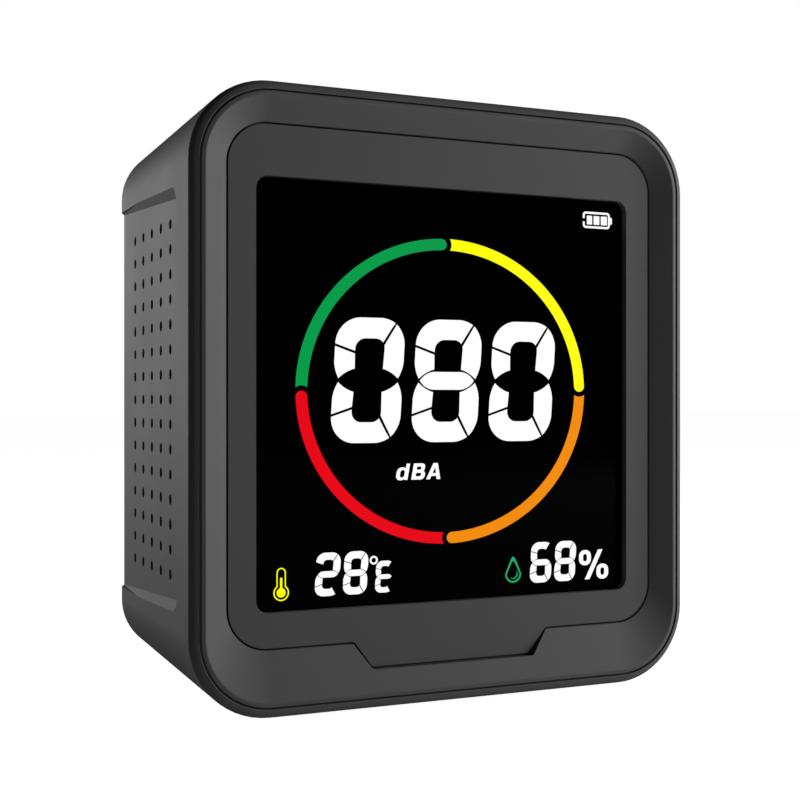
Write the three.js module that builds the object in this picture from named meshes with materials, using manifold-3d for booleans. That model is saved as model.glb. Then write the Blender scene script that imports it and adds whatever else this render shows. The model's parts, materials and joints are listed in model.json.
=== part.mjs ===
// Desktop sound level meter: a tapered plastic housing with grilled sides, a dish-shaped
// front frame round a square segment display, and a rear cover with three push buttons.
// Millimetres, +Z up. The front faces -Y, and the feet stand on Z = 0.
import * as THREE from 'three';
import { ConvexGeometry } from 'three/addons/geometries/ConvexGeometry.js';
import { mergeGeometries, mergeVertices } from 'three/addons/utils/BufferGeometryUtils.js';
import Module from 'manifold-3d';

const wasm = await Module();
wasm.setup();

// ---------- driving dimensions ----------
const OVERALL_DEPTH = 54;
const FRONT_Y = -OVERALL_DEPTH / 2;
const REAR_Y = OVERALL_DEPTH / 2;
const FACE_Y = FRONT_Y + 2;            // outer face of the plate round the display
const MID_Z = 51.45;                   // middle height of the body above the table
const GAP = 0.3;                       // clearance between moulded pieces
const SEAM = 0.15;                     // half the visible seam round the display plate
const CORNER_STEPS = 5;                // facets in each rounded corner

// housing, widest at its front shoulder and drafted towards the rear
const SHOULDER = { width: 92.6, height: 101.7, radius: 13.4, y: FACE_Y - 0.7 };
const TAIL = { width: 90.5, height: 96.2, radius: 10.2 };
const RIM_CHAMFER = 1.2;
const REAR_FILLET = 1.6;
const FILLET_STEPS = 3;
const CAVITY_FRONT = { width: 86.4, height: 96.4, radius: 10.6 };
const CAVITY_REAR = { width: 86.0, height: 91.8, radius: 8.2 };
const FRAME_SEAT = 2.0;                // depth of the rebate that takes the front frame

// side grilles: a panel sunk below the drafted wall and open towards the rear
const PANEL_FRONT = { x: 44.9, depth: 11.7, half: 32.95 };
const PANEL_REAR = { x: 44.55, depth: 53, half: 35.4 };
const PANEL_MOUTH_X = 47.3;            // reach of the recess cutter, beyond the drafted wall
const PANEL_MOUTH = [
  { depth: 2.7, half: 33.4 },
  { depth: 6.9, half: 35.9 },
  { depth: 53, half: 36.4 },
];
const HOLE_RADIUS = 0.85;
const HOLE_SIDES = 6;
const HOLE_COLUMNS = 5;
const HOLE_ROWS = 15;
const HOLE_PITCH_Y = 6.6;
const HOLE_PITCH_Z = 4.18;
const FIRST_COLUMN = 15.7;

// front frame and the plate inside it
const LIP = { width: 89.3, height: 98.3, radius: 11.8 };
const CREST = { width: 87.6, height: 96.63, radius: 10.95 };
const CREST_LAND = 0.2;
const SKIRT = { width: 85.8, height: 95.2, radius: 10.2, end: 7 };
const FRAME_HOLLOW = { width: 82.8, height: 91, radius: 8.7, start: 3.1 };
const PLATE = { width: 79.52, height: 84.27, radius: 6.74, z: 53.52, thickness: 1.4 };
const TAB = { top: 36.5, bottom: 30, drop: 4.33 };
const WINDOW = { width: 70, height: 70.1, radius: 2.1, z: 52.21 };
const LEDGE_OPENING = { width: 76.4, height: 78.4, radius: 2.5, z: 51.85 };
const LEDGE_DEPTH = 1.5;

// display stack, as depths behind the plate's face
const LENS = { width: 74.8, height: 74.5, radius: 3, z: 52.1, front: 1.7, back: 2.9 };
const TAPE = { inner: 71.3, front: 1.45, back: 1.65 };
const LCD = { width: 75.2, height: 76.2, z: 51.35, front: 3.3, back: 5.5 };
const BACKLIGHT = { width: 74, height: 71.8, z: 53.3, front: 5.6, back: 9.2 };
const HOLDER = { width: 80.4, height: 79.1, z: 51.6, front: 3.2, floor: 9.3, back: 10.5 };
const HOLDER_POCKET = { width: 75.8, height: 76.6, z: 51.35 };
const HOLDER_OPENING = { width: 66, height: 62, z: 53 };
const ZEBRA = { width: 60, height: 2.8, z: 14.9, front: 5.6, back: 10.5 };
const PCB = { width: 77, height: 90.8, radius: 6, z: 51.65, front: 10.6, back: 12.2 };

// points where the front frame, the display holder and the main board are screwed together
const POST_X = 30;
const POST_TOP_Z = 94.25;
const POST_BOTTOM_Z = 9.25;
const POST_RADIUS = 2.6;
const POST_END = 9.2;
const SCREW_CLEARANCE = 1.3;
const SCREW_PILOT = 0.95;

// rear cover with its buttons, the board behind them and the charging socket
const COVER = { width: 85.4, height: 91.2, radius: 7.9, front: 49.5, back: 51.7 };
const COVER_SCREW = { x: 36.6, z: 39.4, head: 2.2, shank: 1, end: 40 };
const COVER_BOSS = { radius: 3.4, pilot: 1.2, front: 38, back: 47.6, rib: 1.6, reach: 7.3 };
const COUNTERBORE = { radius: 2.5, depth: 1.7 };
const BUTTON = { width: 13, height: 8, radius: 3.9, pitch: 18, z: 81.85, back: 51.8, flange: 1.2 };
const BUTTON_POCKET = { width: 58, height: 15, radius: 7.2, depth: 0.8 };
const KEY_BOARD = { width: 64, height: 25, radius: 2, z: 77, front: 42, back: 43.6 };
const KEY_POST = { x: 29, low: 68, high: 86, radius: 2.4 };
const SWITCH = { size: 6, front: 43.7, back: 47.1, bore: 1.8, plunger: 1.6 };
const USB = { width: 9, height: 3.3, radius: 1.6, wall: 0.35, z: 68, back: 51.2 };
const USB_TONGUE = { width: 6.6, thickness: 0.7, front: 45, back: 50.4 };
const LABEL_RECESS = { width: 40, height: 24, radius: 2, z: 34, depth: 0.3 };

// parts on and behind the main board
const ON_BOARD = 12.3;                 // depth at which parts stand on the main board
const PROCESSOR = { size: 12, back: 13.7, x: -2, z: 64 };
const BUZZER = { radius: 6, height: 8.5, port: 1.4, dimple: 2, x: 24, z: 80 };
const PLUG = { back: 16.8, height: 4.5 };
const MICROPHONE_PLUG = { width: 6, x: -26, z: 70 };
const CLIMATE_PLUG = { width: 7.5, x: 28, z: 66 };
const LINK_PLUG = { width: 14, z: 80, front: 37.4, back: 41.9 };
const RIBBON = { width: 10, thickness: 0.8 };
const LEAD_RADIUS = 0.8;
const CELL = { radius: 9.2, length: 65, z: 36, depth: 23.8 };
const CELL_BOX = { width: 76.8, height: 21.2, front: 12.3, back: 27, wall: 1.5 };
const CELL_CAP = { radius: 3, height: 1.3 };
const CONTACT = { x: 36.4, thickness: 0.4, front: 15, back: 26, height: 12, tip: 32.8 };
const SENSOR_RING = { outer: 8, inner: 6.7, depth: 28, z: 60.85, height: 4.1 };
const MICROPHONE = { radius: 4.8, face: 42.6, back: 37.4 };
const BOOT = { radius: 6.4, bore: 4.95, outlet: 1.5, mouth: 42.8, floor: 37.2, back: 36 };
const CLIMATE_BOARD = { radius: 6.4, face: 41.2, back: 40.2 };
const CLIMATE_CHIP = { size: 3, thickness: 1, x: 41.8, depth: 28 };
const SCREEN = { front: 13, back: 44.5, height: 62, thickness: 0.3 };

// rubber feet: pad standing on Z = 0, stem through the bottom wall
const FOOT = { radius: 4.5, x: 30, stem: 1.5, bulb: 2.1 };
const FOOT_ROWS = [
  { name: 'front', depth: 10, top: 2.0 },
  { name: 'rear', depth: 42, top: 3.3 },
];

// ---------- materials ----------
function finish(color, roughness, metalness = 0) {
  return { color, roughness, metalness };
}

const SHELL_PLASTIC = finish(0x3b3b3c, 0.5);
const PLATE_PLASTIC = finish(0x303031, 0.55);
const BLACK_PLASTIC = finish(0x161617, 0.6);
const WHITE_PLASTIC = finish(0xe8e8e4, 0.5);
const DISPLAY_BLACK = finish(0x040405, 0.15);
const BOARD_GREEN = finish(0x12502c, 0.55);
const RUBBER = finish(0x1a1a1a, 0.85);
const FELT = finish(0x0c0c0c, 0.95);
const STEEL = finish(0xb9bcc0, 0.3, 1);
const DARK_STEEL = finish(0x2a2a2c, 0.4, 1);
const CELL_WRAP = finish(0x2c6fa8, 0.4);

// ---------- geometry helpers ----------
const behind = (depth) => FACE_Y + depth;

function rounded({ width, height, radius }, z = MID_Z, x = 0, grow = 0) {
  const arc = Math.max(radius + grow, 0.01);
  const across = width / 2 + grow - arc;
  const up = height / 2 + grow - arc;
  const corners = [[across, up], [-across, up], [-across, -up], [across, -up]];
  const outline = [];
  corners.forEach(([cornerX, cornerZ], quarter) => {
    for (let step = 0; step <= CORNER_STEPS; step += 1) {
      const angle = (Math.PI / 2) * (quarter + step / CORNER_STEPS);
      const point = new THREE.Vector2(Math.cos(angle), Math.sin(angle)).multiplyScalar(arc);
      outline.push(point.add(new THREE.Vector2(x + cornerX, z + cornerZ)));
    }
  });
  return outline;
}

// A closed solid through outlines of equal point count, each given as [y, outline].
function loft(levels) {
  const count = levels[0][1].length;
  const positions = levels.flatMap(([y, outline]) => outline.flatMap((p) => [p.x, y, p.y]));
  const caps = THREE.ShapeUtils.triangulateShape(levels[0][1], []);
  const last = (levels.length - 1) * count;
  const faces = [];
  for (const [a, b, c] of caps) {
    faces.push(a, b, c, last + a, last + c, last + b);
  }
  for (let level = 0; level < levels.length - 1; level += 1) {
    for (let i = 0; i < count; i += 1) {
      const near = level * count + i;
      const next = level * count + ((i + 1) % count);
      faces.push(near, near + count, next + count, near, next + count, next);
    }
  }
  const geometry = new THREE.BufferGeometry();
  geometry.setAttribute('position', new THREE.Float32BufferAttribute(positions, 3));
  geometry.setIndex(faces);
  return geometry;
}

const prism = (outline, front, back) => loft([[behind(front), outline], [behind(back), outline]]);

// A box from its extents: across X, between two depths, and across Z.
function slab(width, front, back, height, z, x = 0) {
  const box = new THREE.BoxGeometry(width, back - front, height);
  return box.translate(x, behind((front + back) / 2), z);
}

function rodY(radius, front, back, x, z, sides = 12) {
  const rod = new THREE.CylinderGeometry(radius, radius, back - front, sides);
  return rod.translate(x, behind((front + back) / 2), z);
}

function rodZ(radius, from, to, x, depth, sides = 12) {
  const rod = new THREE.CylinderGeometry(radius, radius, to - from, sides);
  return rod.rotateX(Math.PI / 2).translate(x, behind(depth), (from + to) / 2);
}

function rodX(radius, from, to, depth, z, sides = 12) {
  const rod = new THREE.CylinderGeometry(radius, radius, Math.abs(to - from), sides);
  return rod.rotateZ(Math.PI / 2).translate((from + to) / 2, behind(depth), z);
}

// Turned about its own axis, from [radius, height] pairs that start and end on the axis.
function turned(profile, sides = 8) {
  return new THREE.LatheGeometry(profile.map(([r, h]) => new THREE.Vector2(r, h)), sides);
}

function solid(geometry) {
  const bare = geometry.clone();
  bare.deleteAttribute('normal');
  bare.deleteAttribute('uv');
  const closed = mergeVertices(bare, 1e-4);
  const vertProperties = Float32Array.from(closed.attributes.position.array);
  const triVerts = Uint32Array.from(closed.index.array);
  return new wasm.Manifold(new wasm.Mesh({ numProp: 3, vertProperties, triVerts }));
}

function surface(manifold) {
  const { vertProperties, triVerts } = manifold.getMesh();
  const geometry = new THREE.BufferGeometry();
  geometry.setAttribute('position', new THREE.BufferAttribute(vertProperties, 3));
  geometry.setIndex(new THREE.BufferAttribute(triVerts, 1));
  return geometry;
}

// Joins the added geometries, then removes the cut ones.
function carve(added, cuts = []) {
  let body = solid(added[0]);
  for (const geometry of added.slice(1)) {
    body = body.add(solid(geometry));
  }
  for (const geometry of cuts) {
    body = body.subtract(solid(geometry));
  }
  return surface(body);
}

const meter = new THREE.Group();

function place(name, geometry, look) {
  const mesh = new THREE.Mesh(geometry, new THREE.MeshStandardMaterial(look));
  mesh.name = name;
  meter.add(mesh);
  return mesh;
}

const pairAt = (x, z) => [[-x, z], [x, z]];
const POSTS = [POST_TOP_Z, POST_BOTTOM_Z].flatMap((z) => pairAt(POST_X, z));
const COVER_ROWS = [MID_Z + COVER_SCREW.z, MID_Z - COVER_SCREW.z];
const COVER_POINTS = COVER_ROWS.flatMap((z) => pairAt(COVER_SCREW.x, z));
const KEY_POSTS = [KEY_POST.low, KEY_POST.high].flatMap((z) => pairAt(KEY_POST.x, z));
const BUTTON_PLACES = [-BUTTON.pitch, 0, BUTTON.pitch];

// ---------- housing ----------
function housingOutline(y, inset) {
  const along = (y - SHOULDER.y) / (REAR_Y - SHOULDER.y);
  const section = {
    width: THREE.MathUtils.lerp(SHOULDER.width, TAIL.width, along),
    height: THREE.MathUtils.lerp(SHOULDER.height, TAIL.height, along),
    radius: THREE.MathUtils.lerp(SHOULDER.radius, TAIL.radius, along),
  };
  return rounded(section, MID_Z, 0, -inset);
}

function housingSkin() {
  const levels = [
    [SHOULDER.y - RIM_CHAMFER + 0.05, housingOutline(SHOULDER.y, RIM_CHAMFER)],
    [SHOULDER.y, housingOutline(SHOULDER.y, 0)],
  ];
  for (let step = 0; step <= FILLET_STEPS; step += 1) {
    const angle = (Math.PI / 2) * (step / FILLET_STEPS);
    const y = REAR_Y - REAR_FILLET * (1 - Math.sin(angle));
    levels.push([y, housingOutline(y, REAR_FILLET * (1 - Math.cos(angle)))]);
  }
  return loft(levels);
}

function grilleRecess(side) {
  const mouth = PANEL_MOUTH.map(({ depth, half }) => ({ x: PANEL_MOUTH_X, depth, half }));
  const corners = [PANEL_FRONT, PANEL_REAR, ...mouth].flatMap(({ x, depth, half }) => [
    new THREE.Vector3(side * x, behind(depth), MID_Z + half),
    new THREE.Vector3(side * x, behind(depth), MID_Z - half),
  ]);
  return new ConvexGeometry(corners);
}

// Each rod runs through both side walls, so one set of rods pierces both grilles.
function grilleRods() {
  const rods = [];
  for (let column = 0; column < HOLE_COLUMNS; column += 1) {
    for (let row = 0; row < HOLE_ROWS; row += 1) {
      const z = MID_Z + (row - (HOLE_ROWS - 1) / 2) * HOLE_PITCH_Z;
      const depth = FIRST_COLUMN + column * HOLE_PITCH_Y;
      rods.push(rodX(HOLE_RADIUS, -SHOULDER.width / 2, SHOULDER.width / 2, depth, z, HOLE_SIDES));
    }
  }
  return mergeGeometries(rods);
}

function coverBosses() {
  const { radius, front, back, rib, reach } = COVER_BOSS;
  return COVER_POINTS.flatMap(([x, z]) => [
    rodY(radius, front, back, x, z),
    slab(reach, front, back, rib, z, x + Math.sign(x) * (reach / 2)),
    slab(rib, front, back, reach, z + Math.sign(z - MID_Z) * (reach / 2), x),
  ]);
}

function sensorRing(side) {
  const { outer, inner, depth, z, height } = SENSOR_RING;
  const wall = side * (CAVITY_FRONT.width / 2 + 0.4);
  const end = wall - side * height;
  return carve(
    [rodX(outer, wall, end, depth, z, 16)],
    [rodX(inner, wall + side, end - side, depth, z, 16)],
  );
}

function footHoles() {
  return FOOT_ROWS.flatMap(({ depth, top }) => [-FOOT.x, FOOT.x].flatMap((x) => [
    rodZ(FOOT.radius + GAP, -1, top + 0.1, x, depth),
    rodZ(FOOT.stem + 0.2, -1, top + 6, x, depth, 12),
  ]));
}

function snapPoints(width, front, back, reach) {
  return [-1, 1].flatMap((up) => [-20, 20].map(
    (x) => slab(width, front, back, 2, MID_Z + up * (reach - 1), x),
  ));
}

function makeHousing() {
  const cavity = loft([
    [behind(FRAME_SEAT), rounded(CAVITY_FRONT)],
    [REAR_Y + 1, rounded(CAVITY_REAR)],
  ]);
  const rebate = prism(rounded(LIP, MID_Z, 0, GAP), -3, FRAME_SEAT);
  const shell = surface(solid(housingSkin()).subtract(solid(cavity)).subtract(solid(rebate)));
  const { pilot, front, back } = COVER_BOSS;
  const pierced = carve([shell, ...coverBosses()], [
    ...COVER_POINTS.map(([x, z]) => rodY(pilot, front + 1, back + 1, x, z, 10)),
    ...footHoles(),
    ...snapPoints(12.8, 4.2, 6.5, 48.85),
    grilleRecess(-1),
    grilleRecess(1),
    grilleRods(),
  ]);
  return carve([pierced, sensorRing(-1), sensorRing(1)]);
}

place('main_housing', makeHousing(), SHELL_PLASTIC);

// ---------- front frame ----------
function tabOutline(grow, overlap) {
  const seamZ = PLATE.z - PLATE.height / 2;
  const half = TAB.top / 2 + grow;
  const tip = TAB.bottom / 2 + grow;
  const low = seamZ - TAB.drop - grow;
  const corners = [
    [-half, seamZ + overlap], [-half, seamZ], [-tip, low],
    [tip, low], [half, seamZ], [half, seamZ + overlap],
  ];
  return corners.map(([x, z]) => new THREE.Vector2(x, z));
}

function makeFrontFrame() {
  const outer = loft([
    [FRONT_Y, rounded(CREST, MID_Z, 0, CREST_LAND)],
    [FRONT_Y + 0.35, rounded(LIP)],
    [behind(FRAME_SEAT - GAP), rounded(LIP)],
  ]);
  const skirt = prism(rounded(SKIRT), 0.5, SKIRT.end);
  const seat = rounded(PLATE, PLATE.z, 0, SEAM);
  const crest = rounded(CREST);
  const beyond = crest.map((point, i) => point.clone().lerp(seat[i], -0.2));
  const dish = loft([[FRONT_Y - 0.4, beyond], [FACE_Y, seat]]);
  const posts = POSTS.map(([x, z]) => rodY(POST_RADIUS, 3, POST_END, x, z));
  const hollow = surface(solid(prism(rounded(FRAME_HOLLOW), FRAME_HOLLOW.start, SKIRT.end + 1)));
  const ring = carve([outer, skirt, ...snapPoints(12, 4.5, 6.1, 48.5)], [
    dish,
    prism(seat, -0.05, LEDGE_DEPTH),
    prism(tabOutline(SEAM, 1), -3, LEDGE_DEPTH),
    prism(rounded(LEDGE_OPENING, LEDGE_OPENING.z), 1, 4),
    hollow,
  ]);
  return carve([ring, ...posts], POSTS.map(([x, z]) => rodY(SCREW_PILOT, 4, 10, x, z, 10)));
}

place('front_frame', makeFrontFrame(), SHELL_PLASTIC);

// ---------- display plate, lens and display stack ----------
const plateBody = prism(rounded(PLATE, PLATE.z, 0, -SEAM), 0, PLATE.thickness);
const plateTab = prism(tabOutline(-SEAM, 1), 0, PLATE.thickness);
const windowCut = prism(rounded(WINDOW, WINDOW.z), -1, 3);
place('display_surround', carve([plateBody, plateTab], [windowCut]), PLATE_PLASTIC);

const lensOutline = rounded(LENS, LENS.z);
const tapeInner = rounded({ width: TAPE.inner, height: TAPE.inner, radius: 2 }, LENS.z);
place(
  'lens_tape',
  carve([prism(lensOutline, TAPE.front, TAPE.back)], [prism(tapeInner, 1, 2)]),
  BLACK_PLASTIC,
);
place('window_lens', prism(lensOutline, LENS.front, LENS.back), DISPLAY_BLACK);
place('lcd_panel', slab(LCD.width, LCD.front, LCD.back, LCD.height, LCD.z), DISPLAY_BLACK);
place(
  'lcd_backlight',
  slab(BACKLIGHT.width, BACKLIGHT.front, BACKLIGHT.back, BACKLIGHT.height, BACKLIGHT.z),
  WHITE_PLASTIC,
);
place(
  'lcd_contact_strip',
  slab(ZEBRA.width, ZEBRA.front, ZEBRA.back - 0.1, ZEBRA.height, ZEBRA.z),
  RUBBER,
);

function makeHolder() {
  const ears = POSTS.flatMap(([x, z]) => {
    const inward = z > MID_Z ? -2 : 2;
    return [
      rodY(POST_RADIUS + 0.2, HOLDER.floor, HOLDER.back, x, z),
      slab(5.6, HOLDER.floor, HOLDER.back, 4, z + inward, x),
    ];
  });
  const body = slab(HOLDER.width, HOLDER.front, HOLDER.back, HOLDER.height, HOLDER.z);
  const pocket = HOLDER_POCKET;
  const opening = HOLDER_OPENING;
  const [before, beyond] = [HOLDER.floor - 1, HOLDER.back + 1];
  return carve([body, ...ears], [
    slab(pocket.width, 0, HOLDER.floor, pocket.height, pocket.z),
    slab(opening.width, before, beyond, opening.height, opening.z),
    slab(ZEBRA.width + 1, before, beyond, ZEBRA.height + 0.6, ZEBRA.z),
    ...POSTS.map(([x, z]) => rodY(SCREW_CLEARANCE, before, beyond, x, z, 12)),
  ]);
}

place('lcd_holder', makeHolder(), BLACK_PLASTIC);

// ---------- main board and what it carries ----------
const boardSheet = prism(rounded(PCB, PCB.z), PCB.front, PCB.back);
const boardHoles = POSTS.map(([x, z]) => rodY(SCREW_CLEARANCE, 10, 13, x, z, 12));
place('main_board', carve([boardSheet], boardHoles), BOARD_GREEN);
place(
  'processor_chip',
  slab(PROCESSOR.size, ON_BOARD, PROCESSOR.back, PROCESSOR.size, PROCESSOR.z, PROCESSOR.x),
  BLACK_PLASTIC,
);

function makeBuzzer() {
  const { radius, height, port, dimple } = BUZZER;
  const profile = [
    [0, 0], [radius, 0], [radius, height],
    [port, height], [port, height - dimple], [0, height - dimple],
  ];
  return turned(profile, 16).translate(BUZZER.x, behind(ON_BOARD), BUZZER.z);
}

place('alarm_buzzer', makeBuzzer(), BLACK_PLASTIC);

function makeCellHolder() {
  const { width, height, front, back, wall } = CELL_BOX;
  const radius = CELL.radius + GAP;
  const inside = width - 2 * wall;
  return carve([slab(width, front, back, height, CELL.z)], [
    rodX(radius, -inside / 2, inside / 2, CELL.depth, CELL.z, 16),
    slab(inside, CELL.depth, back + 1, 2 * radius, CELL.z),
  ]);
}

// A round plate with a bump on its inner face that touches the end of the cell.
function makeContact(side, bumpRadius) {
  const { x, thickness, front, back, height, tip } = CONTACT;
  const sheet = slab(thickness, front, back, height, CELL.z, side * x);
  const disc = rodX(CELL.radius + 0.1, side * (x - 1), side * (x + 1), CELL.depth, CELL.z, 16);
  const bump = rodX(bumpRadius, side * tip, side * x, CELL.depth, CELL.z);
  return surface(solid(sheet).intersect(solid(disc)).add(solid(bump)));
}

function makeCell() {
  const end = CELL.length / 2;
  const shoulder = end - CELL_CAP.height;
  const profile = [
    [0, -end], [CELL.radius, -end], [CELL.radius, shoulder],
    [CELL_CAP.radius, shoulder], [CELL_CAP.radius, end], [0, end],
  ];
  return turned(profile, 16).rotateZ(-Math.PI / 2).translate(0, behind(CELL.depth), CELL.z);
}

place('battery_holder', makeCellHolder(), BLACK_PLASTIC);
place('battery_cell', makeCell(), CELL_WRAP);
place('battery_contact_positive', makeContact(1, 2.5), STEEL);
place('battery_contact_negative', makeContact(-1, 4), STEEL);

// ---------- microphone and climate sensor behind the grilles ----------
function makeScreen(side) {
  const { outer, depth, z } = SENSOR_RING;
  const x = side * (CAVITY_FRONT.width / 2 - 0.35);
  const sheet = slab(SCREEN.thickness, SCREEN.front, SCREEN.back, SCREEN.height, MID_Z, x);
  return carve([sheet], [rodX(outer + 0.4, x - 1, x + 1, depth, z, 16)]);
}

place('grille_screen_left', makeScreen(-1), FELT);
place('grille_screen_right', makeScreen(1), FELT);

// A round part on the axis of one sensor ring, between two distances from the middle.
function sensorRod(side, radius, back, face) {
  return rodX(radius, side * back, side * face, SENSOR_RING.depth, SENSOR_RING.z, 16);
}

const bootTube = sensorRod(-1, BOOT.radius, BOOT.back, BOOT.mouth);
const bootBore = sensorRod(-1, BOOT.bore, BOOT.floor, BOOT.mouth + 1);
const bootOutlet = sensorRod(-1, BOOT.outlet, BOOT.back - 1, BOOT.floor + 1);
const climateDisc = sensorRod(1, CLIMATE_BOARD.radius, CLIMATE_BOARD.back, CLIMATE_BOARD.face);
place('microphone_boot', carve([bootTube], [bootBore, bootOutlet]), RUBBER);
place('microphone_capsule', sensorRod(-1, MICROPHONE.radius, MICROPHONE.back, MICROPHONE.face), STEEL);
place('climate_sensor_board', climateDisc, BOARD_GREEN);

function makeClimateChip() {
  const { size, thickness, x, depth } = CLIMATE_CHIP;
  return slab(thickness, depth - size / 2, depth + size / 2, size, SENSOR_RING.z, x);
}

place('climate_sensor_chip', makeClimateChip(), STEEL);

// ---------- wiring inside ----------
function lead(route, outline, steps = 12) {
  const stops = route.map(([x, depth, z]) => new THREE.Vector3(x, behind(depth), z));
  const extrudePath = new THREE.CatmullRomCurve3(stops);
  const settings = { steps, extrudePath, bevelEnabled: false };
  return new THREE.ExtrudeGeometry(new THREE.Shape(outline), settings);
}

function roundSection(radius, sides = 8) {
  return Array.from({ length: sides }, (_, i) => {
    const angle = (2 * Math.PI * i) / sides;
    return new THREE.Vector2(radius * Math.cos(angle), radius * Math.sin(angle));
  });
}

function plug({ width, x = 0, z }, front = ON_BOARD, back = PLUG.back) {
  return slab(width, front, back, PLUG.height, z, x);
}

const microphoneRoute = [
  [-37.2, 28, 60.85], [-33, 28, 61.5], [-29, 25, 66], [-26, 20, 70], [-26, 16.9, 70],
];
const climateRoute = [
  [40, 28, 60.85], [36, 28, 61.5], [31, 25, 64], [28, 20, 66], [28, 16.9, 66],
];
place('microphone_lead', lead(microphoneRoute, roundSection(LEAD_RADIUS)), BLACK_PLASTIC);
place('climate_sensor_lead', lead(climateRoute, roundSection(LEAD_RADIUS)), BLACK_PLASTIC);
place('microphone_socket', plug(MICROPHONE_PLUG), WHITE_PLASTIC);
place('climate_sensor_socket', plug(CLIMATE_PLUG), WHITE_PLASTIC);

const [ribbonX, ribbonY] = [RIBBON.width / 2, RIBBON.thickness / 2];
const ribbonSection = [
  [-ribbonX, -ribbonY], [ribbonX, -ribbonY], [ribbonX, ribbonY], [-ribbonX, ribbonY],
].map(([x, y]) => new THREE.Vector2(x, y));
const ribbonRoute = [[0, 16.9, 80], [0, 20, 80], [0, 27, 77], [0, 34, 80], [0, 37.3, 80]];
place('link_cable', lead(ribbonRoute, ribbonSection, 14), BLACK_PLASTIC);
place('link_socket_main', plug(LINK_PLUG), WHITE_PLASTIC);
place('link_socket_keys', plug(LINK_PLUG, LINK_PLUG.front, LINK_PLUG.back), WHITE_PLASTIC);

// ---------- rear cover, buttons and their board ----------
function makeCover() {
  const { front, back } = COVER;
  const sunk = back - COUNTERBORE.depth;
  const pads = COVER_POINTS.map(([x, z]) => rodY(COVER_BOSS.radius, 47.7, front + 0.2, x, z));
  const posts = KEY_POSTS.map(([x, z]) => rodY(KEY_POST.radius, 43.7, front + 0.2, x, z));
  return carve([prism(rounded(COVER), front, back), ...pads, ...posts], [
    ...COVER_POINTS.map(([x, z]) => rodY(COUNTERBORE.radius, sunk, back + 1, x, z)),
    ...COVER_POINTS.map(([x, z]) => rodY(SCREW_CLEARANCE, 47, back, x, z, 12)),
    ...KEY_POSTS.map(([x, z]) => rodY(SCREW_PILOT, 43, 48.5, x, z, 10)),
    prism(rounded(BUTTON_POCKET, BUTTON.z), back - BUTTON_POCKET.depth, back + 1),
    ...BUTTON_PLACES.map((x) => prism(rounded(BUTTON, BUTTON.z, x, GAP), front - 1, back)),
    prism(rounded(USB, USB.z, 0, GAP), front - 1, back + 1),
    prism(rounded(LABEL_RECESS, LABEL_RECESS.z), back - LABEL_RECESS.depth, back + 1),
  ]);
}

place('rear_cover', makeCover(), SHELL_PLASTIC);
const keyHoles = KEY_POSTS.map(([x, z]) => rodY(1.2, 41, 45, x, z, 12));
const keySheet = prism(rounded(KEY_BOARD, KEY_BOARD.z), KEY_BOARD.front, KEY_BOARD.back);
place('key_board', carve([keySheet], keyHoles), BOARD_GREEN);

const BUTTON_NAMES = ['button_up', 'button_power', 'button_down'];
BUTTON_NAMES.forEach((name, i) => {
  const x = BUTTON_PLACES[i];
  const inside = COVER.front - 0.1;
  const cap = prism(rounded(BUTTON, BUTTON.z, x), inside - 0.6, BUTTON.back);
  const flange = prism(rounded(BUTTON, BUTTON.z, x, BUTTON.flange), inside - 1.2, inside);
  const { size, front, back } = SWITCH;
  const body = slab(size, front, back, size, BUTTON.z, x);
  const bore = rodY(SWITCH.bore, back - 1.6, back + 1, x, BUTTON.z);
  const plunger = rodY(SWITCH.plunger, back - 0.6, back + 1, x, BUTTON.z);
  place(name, carve([cap, flange]), BLACK_PLASTIC);
  place(name.replace('button', 'switch'), carve([body], [bore]), BLACK_PLASTIC);
  place(name.replace('button', 'plunger'), plunger, WHITE_PLASTIC);
});

function makeUsbSocket() {
  const sleeve = prism(rounded(USB, USB.z), KEY_BOARD.back + 0.1, USB.back);
  const mouth = prism(rounded(USB, USB.z, 0, -USB.wall), 45.5, USB.back + 1);
  const { width, thickness, front, back } = USB_TONGUE;
  return carve([carve([sleeve], [mouth]), slab(width, front, back, thickness, USB.z)]);
}

place('charging_socket', makeUsbSocket(), STEEL);

// ---------- fasteners ----------
function screw(headRadius, headHeight, shankRadius, length) {
  const top = length + headHeight;
  return turned([
    [0, 0], [shankRadius, 0], [shankRadius, length], [headRadius, length],
    [headRadius, length + headHeight * 0.6], [headRadius * 0.75, top], [0, top],
  ]);
}

COVER_POINTS.forEach(([x, z], i) => {
  const seat = COVER.back - COUNTERBORE.depth + 0.1;
  const body = screw(COVER_SCREW.head, 1.5, COVER_SCREW.shank, seat - COVER_SCREW.end);
  place(`cover_screw_${i + 1}`, body.translate(x, behind(COVER_SCREW.end), z), DARK_STEEL);
});

POSTS.forEach(([x, z], i) => {
  const tip = 5;
  const body = screw(2.3, 1.5, 0.75, PCB.back + 0.1 - tip);
  place(`board_screw_${i + 1}`, body.translate(x, behind(tip), z), STEEL);
});

KEY_POSTS.forEach(([x, z], i) => {
  const tip = 47;
  const body = screw(1.9, 1.3, 0.75, tip - KEY_BOARD.front + 0.1);
  place(`key_board_screw_${i + 1}`, body.rotateX(Math.PI).translate(x, behind(tip), z), STEEL);
});

// ---------- feet ----------
for (const { name, depth, top } of FOOT_ROWS) {
  for (const [side, x] of [['left', -FOOT.x], ['right', FOOT.x]]) {
    const bulb = top + 2;
    const profile = [
      [0, 0], [FOOT.radius - 0.4, 0], [FOOT.radius, 0.4], [FOOT.radius, top], [FOOT.stem, top],
      [FOOT.stem, bulb], [FOOT.bulb, bulb], [FOOT.stem - 0.5, bulb + 1.3], [0, bulb + 1.3],
    ];
    const foot = turned(profile, 12).rotateX(Math.PI / 2).translate(x, behind(depth), 0);
    place(`foot_${name}_${side}`, foot, RUBBER);
  }
}

export default meter;
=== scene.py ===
import json
import math
from collections import namedtuple

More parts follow.
